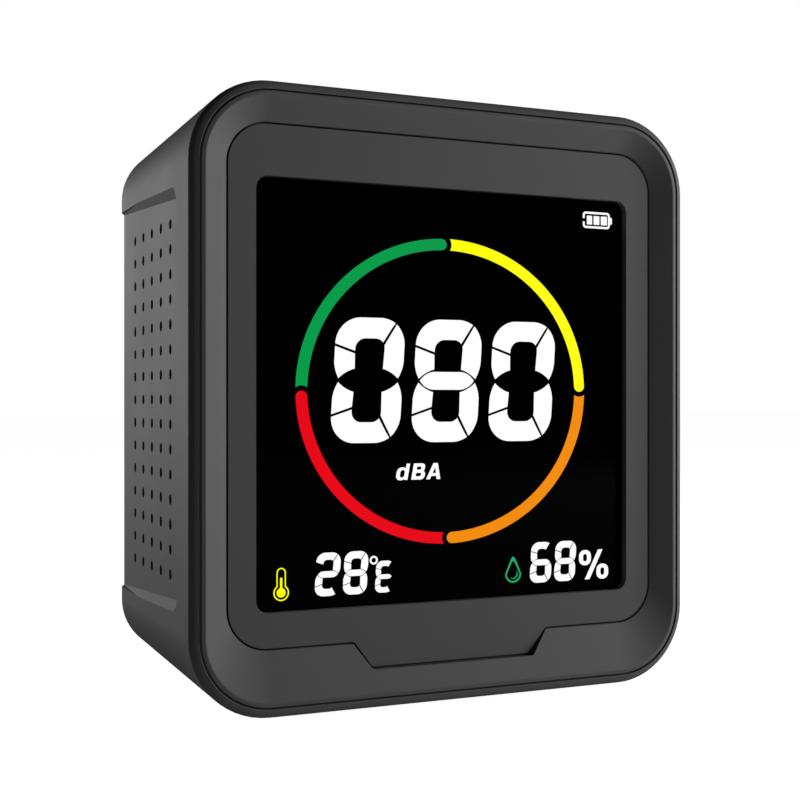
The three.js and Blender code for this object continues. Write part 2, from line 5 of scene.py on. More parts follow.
import bmesh
import bpy
from bpy.props import FloatProperty, FloatVectorProperty, PointerProperty
from mathutils import Matrix, Vector


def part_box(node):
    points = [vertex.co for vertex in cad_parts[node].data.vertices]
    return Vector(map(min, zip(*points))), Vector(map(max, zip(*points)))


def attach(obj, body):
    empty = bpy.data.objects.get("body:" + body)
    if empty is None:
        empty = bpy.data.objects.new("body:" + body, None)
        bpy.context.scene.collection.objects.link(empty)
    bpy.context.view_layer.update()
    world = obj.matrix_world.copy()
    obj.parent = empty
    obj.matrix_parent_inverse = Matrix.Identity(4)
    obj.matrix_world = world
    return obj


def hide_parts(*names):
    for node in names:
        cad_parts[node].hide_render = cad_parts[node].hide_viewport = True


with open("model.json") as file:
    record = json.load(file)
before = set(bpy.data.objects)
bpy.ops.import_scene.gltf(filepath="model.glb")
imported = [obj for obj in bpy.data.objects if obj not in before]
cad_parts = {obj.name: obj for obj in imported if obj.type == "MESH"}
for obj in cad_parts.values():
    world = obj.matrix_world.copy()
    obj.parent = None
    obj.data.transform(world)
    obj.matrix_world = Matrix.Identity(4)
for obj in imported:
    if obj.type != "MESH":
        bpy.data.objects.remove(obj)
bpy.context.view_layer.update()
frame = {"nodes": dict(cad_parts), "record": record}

bl_info = {
    "name": "Sound Level Meter",
    "version": (1, 0, 0),
    "blender": (4, 5, 0),
    "location": "3D View > Sidebar > Sound Meter",
    "description": "Builds a desktop sound level meter, piece by piece, on its packed frame",
    "category": "Object",
}

MM = 0.001
BODY = "meter_body"


def extent(node):
    """Lowest and highest corner of a CAD node, in millimetres."""
    low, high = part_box(node)
    return low / MM, high / MM


# ---------- places taken from the frame, in millimetres ----------
HOUSING_LOW, HOUSING_HIGH = extent("main_housing")
RIM_LOW, RIM_HIGH = extent("front_frame")
PLATE_LOW, PLATE_HIGH = extent("display_surround")
LENS_FRONT_Y = extent("window_lens")[0].y
COVER_BACK_Y = extent("rear_cover")[1].y
FRONT_Y = RIM_LOW.y
REAR_Y = HOUSING_HIGH.y
FACE_Y = PLATE_LOW.y
MID_Z = (RIM_LOW.z + RIM_HIGH.z) / 2
DISPLAY_Z = 50.85          # height of the display artwork's centre line

Section = namedtuple("Section", "width height radius z", defaults=(MID_Z,))

# housing
SHOULDER = Section(2 * HOUSING_HIGH.x, HOUSING_HIGH.z - HOUSING_LOW.z, 13.4)
SHOULDER_Y = FACE_Y - 0.7
RIM_INSET = 1.45           # how far the shoulder's front edge lies inside its widest outline
TAIL = Section(90.5, 96.2, 10.2)
CAVITY_REAR = Section(86.0, 91.8, 8.2)
CAVITY_FRONT = Section(86.4, 96.4, 10.6)
REBATE = Section(89.64, 98.64, 11.97)
REBATE_FLOOR = 2.0         # depth of the rebate that takes the front frame
GRILLE = {"rows": 15, "columns": 5, "first": 15.7, "pitch_y": 6.6, "pitch_z": 4.18}
SENSOR_PORT = {"depth": 28, "z": 60.85, "outer": 8, "inner": 6.7, "reach": 4.1}
BOSS = {"radius": 3.4, "pilot": 1.2, "front": 38.0, "back": 47.6, "web": 1.6, "reach": 7.4}

# corners of a grille recess, as distance from the middle, depth, and half height
RECESS_FLOOR = ((44.9, 11.7, 32.95), (44.55, 53.0, 35.4))
RECESS_MOUTH = ((47.3, 6.9, 35.9), (47.3, 2.7, 33.4), (47.3, 53.0, 36.4))

# front frame and plate
CREST = Section(87.6, 96.63, 10.95)
LIP_MIDDLE = Section(88.9, 97.9, 11.6)
LIP = Section(2 * RIM_HIGH.x, RIM_HIGH.z - RIM_LOW.z, 11.8)
SKIRT = Section(85.8, 95.2, 10.2)
HOLLOW = Section(82.8, 91.0, 8.7)
LEDGE = Section(76.4, 78.4, 2.5, 51.85)
PLATE = Section(79.52, 84.27, 6.74, 53.52)
WINDOW = Section(70.0, 70.1, 2.1, 52.21)
TAB = {"top": 36.5, "bottom": 30.0, "drop": 4.33}
SEAM = 0.15                # half the gap round the plate
FRAME_SEAT = 1.7           # these four are depths behind the plate's face
LEDGE_DEPTH = 1.5
HOLLOW_FRONT = 3.1
SKIRT_END = 7.0
POST = {"radius": 2.6, "pilot": 0.95, "front": 3.0, "back": 9.2}
POSTS = [(x, z) for z in (94.25, 9.25) for x in (-30, 30)]

# rear cover
COVER = Section(85.4, 91.2, 7.9)
COVER_SCREWS = [(x, MID_Z + z) for z in (39.4, -39.4) for x in (-36.6, 36.6)]
BUTTON = Section(13.0, 8.0, 3.9, 81.85)
BUTTON_POCKET = Section(58.0, 15.0, 7.2, 81.85)
SOCKET = Section(9.0, 3.3, 1.6, 68.0)
LABEL_RECESS = Section(40.0, 24.0, 2.0, 34.0)
KEY_POSTS = [(x, z) for z in (68, 86) for x in (-29, 29)]
KEY_POST = {"radius": 2.4, "pilot": 0.95, "front": 43.7}
COVER_INNER = 49.5         # depth of the cover's inner face
CLEARANCE = 0.3            # round the buttons and the charging socket


def behind(depth):
    """Y of a depth behind the display plate's face."""
    return FACE_Y + depth


# ---------- outlines and solids ----------
def rounded_path(points, inset=0.0):
    """Corner points (x, z, rounding) of a closed outline, as the points of the rounded outline."""
    flat = bmesh.new()
    corners = [flat.verts.new((x, 0, z)) for x, z, _ in points]
    flat.faces.new(corners)
    for corner, (_, _, rounding) in zip(corners, points):
        if rounding > 0:
            steps = 14 if rounding > 5 else 10 if rounding > 2.5 else 7 if rounding > 0.8 else 5
            bmesh.ops.bevel(
                flat, geom=[corner], offset=rounding, offset_type="OFFSET", segments=steps,
                profile=0.5, affect="VERTICES", material=-1,
            )
    flat.faces.ensure_lookup_table()
    if inset:
        bmesh.ops.inset_region(
            flat, faces=flat.faces[:], thickness=inset, use_boundary=True, use_even_offset=True)
        flat.faces.ensure_lookup_table()
    inner = max(flat.faces, key=lambda face: len(face.verts))
    path = [vert.co.copy() for vert in inner.verts]
    flat.free()
    return path


def section_path(section, grow=0.0, x=0.0):
    """A rounded rectangle in the XZ plane."""
    across = section.width / 2 + grow
    up = section.height / 2 + grow
    radius = section.radius + grow
    return rounded_path([
        (x + side * across, section.z + rise * up, radius)
        for side, rise in ((-1, -1), (1, -1), (1, 1), (-1, 1))
    ])


def loop(bm, path, y):
    """A closed loop of edges through a path's points at one depth."""
    verts = [bm.verts.new((point.x, y, point.z)) for point in path]
    return [bm.edges.new((a, b)) for a, b in zip(verts, verts[1:] + verts[:1])]


def soften(bm, edges, width):
    """Rounds edges, with more facets where the rounding is wide."""
    segments = 10 if width > 1 else 5
    bmesh.ops.bevel(
        bm, geom=edges, offset=width, offset_type="OFFSET", segments=segments, profile=0.5,
        affect="EDGES", clamp_overlap=True, material=-1,
    )


def lofted(levels, closed=True):
    """A solid through (path, y, softness) levels: a ring if closed, or capped at both ends."""
    bm = bmesh.new()
    loops = [loop(bm, path, y) for path, y, _ in levels]
    pairs = list(zip(loops, loops[1:]))
    if closed:
        pairs.append((loops[-1], loops[0]))
    else:
        bmesh.ops.contextual_create(bm, geom=loops[0])
        bmesh.ops.contextual_create(bm, geom=loops[-1])
    for near, far in pairs:
        bmesh.ops.bridge_loops(bm, edges=near + far)
    bmesh.ops.recalc_face_normals(bm, faces=bm.faces)
    for edges, (_, _, softness) in zip(loops, levels):
        if softness:
            soften(bm, edges, softness)
    return bm


def slab(paths, front, back, soft_front=0.0, soft_back=0.0):
    """A flat solid between two depths, with the first path as its outline and the rest as holes."""
    bm = bmesh.new()
    edges = [edge for path in paths for edge in loop(bm, path, front)]
    if len(paths) == 1:
        made = bmesh.ops.contextual_create(bm, geom=edges)["faces"]
    else:
        filled = bmesh.ops.triangle_fill(bm, edges=edges, use_beauty=True, normal=(0, -1, 0))
        made = [item for item in filled["geom"] if isinstance(item, bmesh.types.BMFace)]
    grown = bmesh.ops.extrude_face_region(bm, geom=made)["geom"]
    verts = [item for item in grown if isinstance(item, bmesh.types.BMVert)]
    bmesh.ops.translate(bm, verts=verts, vec=(0, back - front, 0))
    bmesh.ops.recalc_face_normals(bm, faces=bm.faces)
    for y, softness in ((front, soft_front), (back, soft_back)):
        if softness:
            soften(bm, sharp_edges(bm, y), softness)
    return bm


def sharp_edges(bm, y, bend=0.6):
    """Edges that lie at one depth and turn a corner."""
    return [
        edge for edge in bm.edges
        if all(abs(vert.co.y - y) < 1e-4 for vert in edge.verts)
        and len(edge.link_faces) == 2 and edge.calc_face_angle() > bend
    ]


def block(x, z, across, up, front, back):
    """A box from its middle, its half width and half height, and two depths."""
    path = [
        Vector((x + side * across, 0, z + rise * up))
        for side, rise in ((-1, -1), (1, -1), (1, 1), (-1, 1))
    ]
    return slab([path], front, back)


def rod(radius, centre, axis, length, sides=32, far_radius=None):
    """A cylinder or cone centred on a point, along X, Y or Z."""
    bm = bmesh.new()
    bmesh.ops.create_cone(
        bm, cap_ends=True, segments=sides, radius1=radius,
        radius2=radius if far_radius is None else far_radius, depth=length,
    )
    turn = {
        "X": Matrix.Rotation(math.pi / 2, 4, "Y"),
        "Y": Matrix.Rotation(-math.pi / 2, 4, "X"),
        "Z": Matrix.Identity(4),
    }[axis]
    bmesh.ops.transform(bm, matrix=Matrix.Translation(centre) @ turn, verts=bm.verts)
    return bm


def rod_between(radius, front, back, x, z, sides=32):
    """A cylinder along Y between two depths."""
    return rod(radius, (x, (front + back) / 2, z), "Y", back - front, sides)


def arc_band(inner, outer, start, sweep, steps, thickness):
    """A flat curved band about +Y, from an angle off +Z, with its front face on Y = 0."""
    bm = bmesh.new()
    ends = [bm.verts.new((0, 0, radius)) for radius in (inner, outer)]
    edge = bm.edges.new(ends)
    bmesh.ops.rotate(bm, verts=ends, cent=(0, 0, 0), matrix=Matrix.Rotation(start, 3, "Y"))
    bmesh.ops.spin(
        bm, geom=[*ends, edge], cent=(0, 0, 0), axis=(0, 1, 0), angle=sweep, steps=steps,
        use_merge=False, use_duplicate=False,
    )
    thick = bmesh.ops.extrude_face_region(bm, geom=bm.faces[:])["geom"]
    verts = [item for item in thick if isinstance(item, bmesh.types.BMVert)]
    bmesh.ops.translate(bm, verts=verts, vec=(0, thickness, 0))
    bmesh.ops.recalc_face_normals(bm, faces=bm.faces)
    return bm


def turned(profile, centre, axis="Y", steps=32):
    """A solid turned about an axis through a centre, from (radius, height) pairs."""
    bm = bmesh.new()
    verts = [bm.verts.new((radius, 0, height)) for radius, height in profile]
    edges = [bm.edges.new(pair) for pair in zip(verts, verts[1:])]
    bmesh.ops.spin(
        bm, geom=verts + edges, cent=(0, 0, 0), axis=(0, 0, 1), angle=math.tau,
        steps=steps, use_merge=True, use_duplicate=False,
    )
    bmesh.ops.remove_doubles(bm, verts=bm.verts, dist=1e-4)
    bmesh.ops.recalc_face_normals(bm, faces=bm.faces)
    turn = Matrix.Rotation(-math.pi / 2, 4, "X") if axis == "Y" else Matrix.Identity(4)
    bmesh.ops.transform(bm, matrix=Matrix.Translation(centre) @ turn, verts=bm.verts)
    return bm


def joined(*parts):
    """Several meshes in one, without uniting them."""
    whole = bmesh.new()
    for part in parts:
        mesh = bpy.data.meshes.new("part")
        part.to_mesh(mesh)
        part.free()
        whole.from_mesh(mesh)
        bpy.data.meshes.remove(mesh)
    return whole


def working_object(bm):
    """A temporary object for the boolean modifiers."""
    mesh = bpy.data.meshes.new("working")
    bm.to_mesh(mesh)
    bm.free()
    obj = bpy.data.objects.new("working", mesh)
    bpy.context.scene.collection.objects.link(obj)
    return obj


def carved(solid, added=(), cut=()):
    """A solid with others united to it and then others cut from it."""
    target = working_object(solid)
    tools = []
    for operation, parts in (("UNION", added), ("DIFFERENCE", cut)):
        for part in parts:
            tool = working_object(part)
            tools.append(tool)
            change = target.modifiers.new("change", "BOOLEAN")
            change.operation = operation
            change.solver = "EXACT"
            change.object = tool
    bpy.context.view_layer.update()
    shown = target.evaluated_get(bpy.context.evaluated_depsgraph_get())
    mesh = bpy.data.meshes.new_from_object(shown)
    result = bmesh.new()
    result.from_mesh(mesh)
    bmesh.ops.remove_doubles(result, verts=result.verts, dist=1e-5)
    for obj in [target, *tools]:
        bpy.data.meshes.remove(obj.data)
    bpy.data.meshes.remove(mesh)
    return result


def piece(name, bm, look, body=BODY, stands_for=(), smooth=35.0):
    """Makes the finished object, in metres, gives it its body and material, and hides the CAD nodes it
    stands for.
    """
    bmesh.ops.scale(bm, vec=(MM, MM, MM), verts=bm.verts)
    mesh = bpy.data.meshes.new(name)
    bm.to_mesh(mesh)
    bm.free()
    mesh.materials.clear()
    for finish in look if isinstance(look, list) else [look]:
        mesh.materials.append(finish)
    obj = bpy.data.objects.new(name, mesh)
    bpy.context.scene.collection.objects.link(obj)
    mesh.shade_smooth()
    mesh.set_sharp_from_angle(angle=math.radians(smooth))
    flats = obj.modifiers.new("even_flats", "WEIGHTED_NORMAL")
    flats.mode = "FACE_AREA"
    flats.keep_sharp = True
    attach(obj, body)
    if stands_for:
        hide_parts(*stands_for)
    return obj


# ---------- shader node groups ----------
def socket(group, name, direction, kind="NodeSocketFloat", default=None):
    made = group.interface.new_socket(name=name, in_out=direction, socket_type=kind)
    if default is not None:
        made.default_value = default
    return made


def fine_grain_group():
    """Spark-eroded texture: tone, roughness and height that vary over a moulded surface."""
    group = bpy.data.node_groups.get("moulded_grain")
    if group:
        return group
    group = bpy.data.node_groups.new("moulded_grain", "ShaderNodeTree")
    socket(group, "Color", "INPUT", "NodeSocketColor", (0.1, 0.1, 0.1, 1))
    socket(group, "Roughness", "INPUT", default=0.5)
    socket(group, "Grain Scale", "INPUT", default=5000.0)
    socket(group, "Tone Change", "INPUT", default=0.06)
    socket(group, "Color", "OUTPUT", "NodeSocketColor")
    socket(group, "Roughness", "OUTPUT")
    socket(group, "Height", "OUTPUT")
    nodes, links = group.nodes, group.links
    given = nodes.new("NodeGroupInput")
    result = nodes.new("NodeGroupOutput")
    place = nodes.new("ShaderNodeTexCoord")
    fine = nodes.new("ShaderNodeTexNoise")
    fine.inputs["Detail"].default_value = 3.0
    fine.inputs["Roughness"].default_value = 0.6
    links.new(place.outputs["Object"], fine.inputs["Vector"])
    links.new(given.outputs["Grain Scale"], fine.inputs["Scale"])
    broad = nodes.new("ShaderNodeTexNoise")
    broad.inputs["Scale"].default_value = 60.0
    broad.inputs["Detail"].default_value = 4.0
    links.new(place.outputs["Object"], broad.inputs["Vector"])
    speck = nodes.new("ShaderNodeTexVoronoi")
    speck.inputs["Randomness"].default_value = 1.0
    half_scale = nodes.new("ShaderNodeMath")
    half_scale.operation = "MULTIPLY"
    half_scale.inputs[1].default_value = 0.6
    links.new(given.outputs["Grain Scale"], half_scale.inputs[0])
    links.new(half_scale.outputs[0], speck.inputs["Scale"])
    links.new(place.outputs["Object"], speck.inputs["Vector"])

    mixed = nodes.new("ShaderNodeMath")
    mixed.operation = "MULTIPLY_ADD"
    mixed.inputs[1].default_value = 0.45
    links.new(speck.outputs["Distance"], mixed.inputs[0])
    links.new(fine.outputs["Fac"], mixed.inputs[2])
    links.new(mixed.outputs[0], result.inputs["Height"])

    both = nodes.new("ShaderNodeMath")
    both.operation = "ADD"
    links.new(fine.outputs["Fac"], both.inputs[0])
    links.new(broad.outputs["Fac"], both.inputs[1])
    centred = nodes.new("ShaderNodeMath")
    centred.operation = "SUBTRACT"
    centred.inputs[1].default_value = 1.0
    links.new(both.outputs[0], centred.inputs[0])
    change = nodes.new("ShaderNodeMath")
    change.operation = "MULTIPLY_ADD"
    change.inputs[2].default_value = 1.0
    links.new(centred.outputs[0], change.inputs[0])
    links.new(given.outputs["Tone Change"], change.inputs[1])
    tone = nodes.new("ShaderNodeVectorMath")
    tone.operation = "SCALE"
    links.new(given.outputs["Color"], tone.inputs[0])
    links.new(change.outputs[0], tone.inputs["Scale"])
    links.new(tone.outputs[0], result.inputs["Color"])
    rough = nodes.new("ShaderNodeMath")
    rough.operation = "MULTIPLY_ADD"
    rough.inputs[1].default_value = 0.08
    links.new(broad.outputs["Fac"], rough.inputs[0])
    links.new(given.outputs["Roughness"], rough.inputs[2])
    links.new(rough.outputs[0], result.inputs["Roughness"])
    return group


def grained(name, color, roughness, grain=5000.0, tone=0.08, bump=0.12, depth=0.00002,
            metallic=0.0, specular=0.5):
    """A surface with the moulded grain: plastic, rubber, board or plated metal by its values."""
    finish_name = name + "_finish"
    look = bpy.data.materials.get(finish_name)
    if look:
        return look
    look = bpy.data.materials.new(finish_name)
    look.use_nodes = True
    nodes, links = look.node_tree.nodes, look.node_tree.links
    shader = nodes["Principled BSDF"]
    shader.inputs["Metallic"].default_value = metallic
    shader.inputs["Specular IOR Level"].default_value = specular
    grain_node = nodes.new("ShaderNodeGroup")
    grain_node.node_tree = fine_grain_group()
    grain_node.inputs["Color"].default_value = (*color, 1)
    grain_node.inputs["Roughness"].default_value = roughness
    grain_node.inputs["Grain Scale"].default_value = grain
    grain_node.inputs["Tone Change"].default_value = tone
    raised = nodes.new("ShaderNodeBump")
    raised.inputs["Strength"].default_value = bump
    raised.inputs["Distance"].default_value = depth
    links.new(grain_node.outputs["Height"], raised.inputs["Height"])
    links.new(grain_node.outputs["Color"], shader.inputs["Base Color"])
    links.new(grain_node.outputs["Roughness"], shader.inputs["Roughness"])
    links.new(raised.outputs["Normal"], shader.inputs["Normal"])
    return look


def lit_segment(name, color, brightness):
    """A lit display segment: its light falls off a little in fine pigment grain."""
    look = bpy.data.materials.get(name)
    if look:
        return look
    look = bpy.data.materials.new(name)
    look.use_nodes = True
    nodes, links = look.node_tree.nodes, look.node_tree.links
    shader = nodes["Principled BSDF"]
    shader.inputs["Base Color"].default_value = (0.004, 0.004, 0.004, 1)
    shader.inputs["Roughness"].default_value = 0.3
    shader.inputs["Specular IOR Level"].default_value = 0.1
    shader.inputs["Emission Strength"].default_value = brightness
    grain_node = nodes.new("ShaderNodeGroup")
    grain_node.node_tree = fine_grain_group()
    grain_node.inputs["Color"].default_value = (*color, 1)
    grain_node.inputs["Grain Scale"].default_value = 3000.0
    grain_node.inputs["Tone Change"].default_value = 0.03
    links.new(grain_node.outputs["Color"], shader.inputs["Emission Color"])
    return look


def shell_look():
    chosen = bpy.context.scene.meter_body
    return grained("shell_plastic", chosen.shell_color, chosen.shell_roughness)


def plate_look():
    chosen = bpy.context.scene.meter_body
    return grained("plate_plastic", chosen.plate_color, chosen.plate_roughness, tone=0.05)


# ---------- settings ----------
def color_setting(name, description, default):
    return FloatVectorProperty(
        name=name, description=description, default=default, subtype="COLOR", min=0.0, max=1.0,
    )


def length_setting(name, description, default, low, high):
    return FloatProperty(
        name=name, description=description, default=default, min=low, max=high,
        unit="LENGTH", subtype="DISTANCE",
    )


class MeterBodySettings(bpy.types.PropertyGroup):
    rim_rounding: length_setting(
        "Rim rounding", "Rounding of the front frame's crest", 0.00012, 0.00005, 0.0005)
    seam_rounding: length_setting(
        "Seam rounding", "Rounding of the edges beside the plate's seam", 0.00016, 0.00005, 0.0004)
    tail_rounding: length_setting(
        "Tail rounding", "Rounding of the housing's rear edge", 0.0016, 0.0005, 0.002)
    hole_diameter: length_setting(
        "Hole diameter", "Width of each hole in the side grilles", 0.0018, 0.0008, 0.0022)
    shell_color: color_setting(
        "Shell color", "Housing, front frame and rear cover", (0.106, 0.106, 0.109))
    plate_color: color_setting(
        "Plate color", "Plate round the display window", (0.087, 0.087, 0.088))
    button_color: color_setting("Button color", "Caps of the three buttons", (0.03, 0.03, 0.031))
    shell_roughness: FloatProperty(
        name="Shell roughness", description="Sheen of the outer shell", default=0.62,
        min=0.1, max=1.0, subtype="FACTOR")
    plate_roughness: FloatProperty(
        name="Plate roughness", description="Sheen of the display plate", default=0.64,
        min=0.1, max=1.0, subtype="FACTOR")


class MeterDisplaySettings(bpy.types.PropertyGroup):
    digit_height: length_setting(
        "Digit height", "Height of the large reading", 0.0209, 0.015, 0.022)
    ring_band: length_setting(
        "Ring band", "Width of the coloured level ring", 0.00205, 0.001, 0.003)
    quiet_color: color_setting("Quiet color", "First quarter of the ring", (0.0, 0.328, 0.065))
    moderate_color: color_setting("Moderate color", "Second quarter of the ring", (1.0, 1.0, 0.0))
    loud_color: color_setting("Loud color", "Third quarter of the ring", (0.896, 0.258, 0.0))
    harmful_color: color_setting("Harmful color", "Last quarter of the ring", (0.791, 0.0, 0.006))
    humidity_color: color_setting(
        "Humidity color", "Drop beside the humidity reading", (0.01, 0.42, 0.16))
    digit_color: color_setting("Digit color", "Digits and unit signs", (1.0, 1.0, 1.0))
    brightness: FloatProperty(
        name="Brightness", description="Light given by the lit segments", default=1.0,
        min=0.0, max=5.0)


class MeterStageSettings(bpy.types.PropertyGroup):
    floor_color: color_setting("Floor color", "Pale table under the meter", (0.9, 0.9, 0.9))
    side_light: FloatProperty(
        name="Side light", description="Soft light to the right of the display",
        default=4.75, min=0.0, max=200.0, unit="POWER")
    rear_light: FloatProperty(
        name="Rear light", description="Soft light behind the left side",
        default=1.85, min=0.0, max=200.0, unit="POWER")
    surround_light: FloatProperty(
        name="Surround light", description="Even light from the studio walls", default=0.015,
        min=0.0, max=2.0)
    lens: FloatProperty(
        name="Lens", description="Focal length of the camera", default=60.12, min=20.0,
        max=200.0, unit="CAMERA")


# ---------- housing ----------
def grille_recess(side):
    """The cutter of one grille recess, sunk into the drafted wall and open towards the rear."""
    bm = bmesh.new()
    for up in (-1, 1):
        for x, depth, reach in RECESS_FLOOR + RECESS_MOUTH:
            bm.verts.new((side * x, behind(depth), MID_Z + up * reach))
    bmesh.ops.convex_hull(bm, input=bm.verts)
    return bm


BORE_SHADE_INDEX = 1              # material index of the painted shade in the grille bores: near-black walls that stand in for the dark inside the holes


def grille_rods(diameter):
    """Rods through both side walls, one for each pair of holes."""
    rods = []
    for column in range(GRILLE["columns"]):
        for row in range(GRILLE["rows"]):
            y = behind(GRILLE["first"] + column * GRILLE["pitch_y"])
            z = MID_Z + (row - (GRILLE["rows"] - 1) / 2) * GRILLE["pitch_z"]
            rods.append(rod(diameter / 2, (0, y, z), "X", SHOULDER.width + 7.4, sides=16))
    return joined(*rods)


def paint_bore_shade(bm):
    """Gives the walls of the grille holes painted shade: a near-black finish that stands in for the
    dark inside the holes.
    """
    inside = CAVITY_REAR.width / 2 - 0.5
    reach = GRILLE["rows"] / 2 * GRILLE["pitch_z"]
    first = behind(GRILLE["first"] - GRILLE["pitch_y"] / 2)
    last = first + GRILLE["columns"] * GRILLE["pitch_y"]
    bm.normal_update()
    for face in bm.faces:
        centre = face.calc_center_median()
        shaded_bore_wall = abs(face.normal.x) < 0.1 and abs(centre.x) > inside
        if shaded_bore_wall and abs(centre.z - MID_Z) < reach and first < centre.y < last:
            face.material_index = BORE_SHADE_INDEX


def sensor_collars():
    """The collars inside the two side walls, and the bores through them."""
    reach = SENSOR_PORT["reach"]
    y, z = behind(SENSOR_PORT["depth"]), SENSOR_PORT["z"]
    collars = []
    bores = []
    for side in (-1, 1):
        x = side * (CAVITY_FRONT.width / 2 + 0.4 - reach / 2)
        collars.append(rod(SENSOR_PORT["outer"], (x, y, z), "X", reach, 48))
        bores.append(rod(SENSOR_PORT["inner"], (x - side * 0.3, y, z), "X", reach - 0.2, 48))
    return collars, bores


def cover_bosses():
    """Pillars for the rear cover's screws, each with a web to the side wall."""
    front, back = behind(BOSS["front"]), behind(BOSS["back"])
    half = BOSS["reach"] / 2
    pillars = [rod_between(BOSS["radius"], front, back, x, z) for x, z in COVER_SCREWS]
    webs = [
        block(x + math.copysign(half, x), z, half, BOSS["web"] / 2, front, back)
        for x, z in COVER_SCREWS
    ]
    return pillars + webs


class METER_OT_housing(bpy.types.Operator):
    """Build the housing with its two side grilles"""
    bl_idname = "meter.housing"
    bl_label = "Housing"

    def execute(self, context):
        chosen = context.scene.meter_body
        rebate_y = behind(REBATE_FLOOR)
        shell = lofted([
            (section_path(REBATE), HOUSING_LOW.y + 0.03, 0.0),
            (section_path(SHOULDER, -RIM_INSET), HOUSING_LOW.y, 0.0),
            (section_path(SHOULDER, -0.6), SHOULDER_Y - 0.76, 0.3),
            (section_path(SHOULDER), SHOULDER_Y, 0.15),
            (section_path(TAIL), REAR_Y, chosen.tail_rounding / MM),
            (section_path(CAVITY_REAR), REAR_Y, 0.2),
            (section_path(CAVITY_FRONT), rebate_y, 0.0),
            (section_path(REBATE), rebate_y, 0.0),
        ])
        collars, bores = sensor_collars()
        pilots = [
            rod_between(BOSS["pilot"], behind(BOSS["front"] + 1), behind(BOSS["back"] + 0.4), x, z, 16)
            for x, z in COVER_SCREWS
        ]
        recessed = carved(shell, cut=[grille_recess(-1), grille_recess(1)])
        finished = carved(
            recessed, added=collars + cover_bosses(),
            cut=[*bores, *pilots, grille_rods(chosen.hole_diameter / MM)],
        )
        # Painted shade: the walls of the grille holes get a near-black finish so that the holes read
        # dark.
        paint_bore_shade(finished)
        bore_shade_look = grained("grille_bore_painted_shade", (0.002, 0.002, 0.002), 0.9, grain=4000.0)
        piece("housing_shell", finished, [shell_look(), bore_shade_look],
              stands_for=["main_housing"], smooth=13.0)
        return {"FINISHED"}


# ---------- front frame ----------
def tab_path(grow, overlap):
    seam_z = PLATE.z - PLATE.height / 2
    wide = TAB["top"] / 2 + grow
    tip = TAB["bottom"] / 2 + grow
    low = seam_z - TAB["drop"] - grow
    return rounded_path([
        (-wide, seam_z + overlap, 0), (-wide, seam_z, 0), (-tip, low, 0.35), (tip, low, 0.35),
        (wide, seam_z, 0), (wide, seam_z + overlap, 0),
    ])


class METER_OT_front_frame(bpy.types.Operator):
    """Build the dished frame round the display plate"""
    bl_idname = "meter.front_frame"
    bl_label = "Front Frame"

    def execute(self, context):
        chosen = context.scene.meter_body
        seat = section_path(PLATE, SEAM)
        ring = lofted([
            (section_path(CREST), FRONT_Y, chosen.rim_rounding / MM),
            (section_path(LIP_MIDDLE), FRONT_Y + 0.14, 0.08),
            (section_path(LIP), FRONT_Y + 0.45, 0.08),
            (section_path(LIP), behind(FRAME_SEAT), 0.0),
            (section_path(SKIRT), behind(FRAME_SEAT), 0.0),
            (section_path(SKIRT), behind(SKIRT_END), 0.3),
            (section_path(HOLLOW), behind(SKIRT_END), 0.3),
            (section_path(HOLLOW), behind(HOLLOW_FRONT), 0.0),
            (section_path(LEDGE), behind(HOLLOW_FRONT), 0.0),
            (section_path(LEDGE), behind(LEDGE_DEPTH), 0.0),
            (seat, behind(LEDGE_DEPTH), 0.0),
            (seat, FACE_Y, chosen.seam_rounding / MM),
        ])
        front, back = behind(POST["front"]), behind(POST["back"])
        posts = [rod_between(POST["radius"], front, back, x, z) for x, z in POSTS]
        pilots = [
            rod_between(POST["pilot"], front + 1, back + 0.8, x, z, 16) for x, z in POSTS
        ]
        notch = slab([tab_path(SEAM, 1.0)], FACE_Y - 3, behind(LEDGE_DEPTH))
        finished = carved(ring, added=posts, cut=[notch, *pilots])
        piece("display_frame", finished, shell_look(),
              stands_for=["front_frame"], smooth=20.0)
        return {"FINISHED"}


# ---------- display ----------
class METER_OT_display_plate(bpy.types.Operator):
    """Build the plate with its tab and square window"""
    bl_idname = "meter.display_plate"
    bl_label = "Display Plate"

    def execute(self, context):
        seam_z = PLATE.z - PLATE.height / 2 + SEAM
        wide = PLATE.width / 2 - SEAM
        high = PLATE.z + PLATE.height / 2 - SEAM
        radius = PLATE.radius - SEAM
        root = TAB["top"] / 2 - SEAM
        tip = TAB["bottom"] / 2 - SEAM
        low = PLATE_LOW.z
        outer = rounded_path([
            (-wide, high, radius), (wide, high, radius), (wide, seam_z, radius),
            (root, seam_z, 0.4), (tip, low, 0.3), (-tip, low, 0.3), (-root, seam_z, 0.4),
            (-wide, seam_z, radius),
        ])
        plate = slab([outer, section_path(WINDOW)], FACE_Y, PLATE_HIGH.y,
                     soft_front=context.scene.meter_body.seam_rounding / MM)
        piece("display_plate", plate, plate_look(),
              stands_for=["display_surround"])
        return {"FINISHED"}


ARTWORK_FRONT = LENS_FRONT_Y - 0.03
ARTWORK_BACK = LENS_FRONT_Y + 0.01
DIGIT_HEIGHT = 20.9
SLANT = 0.062

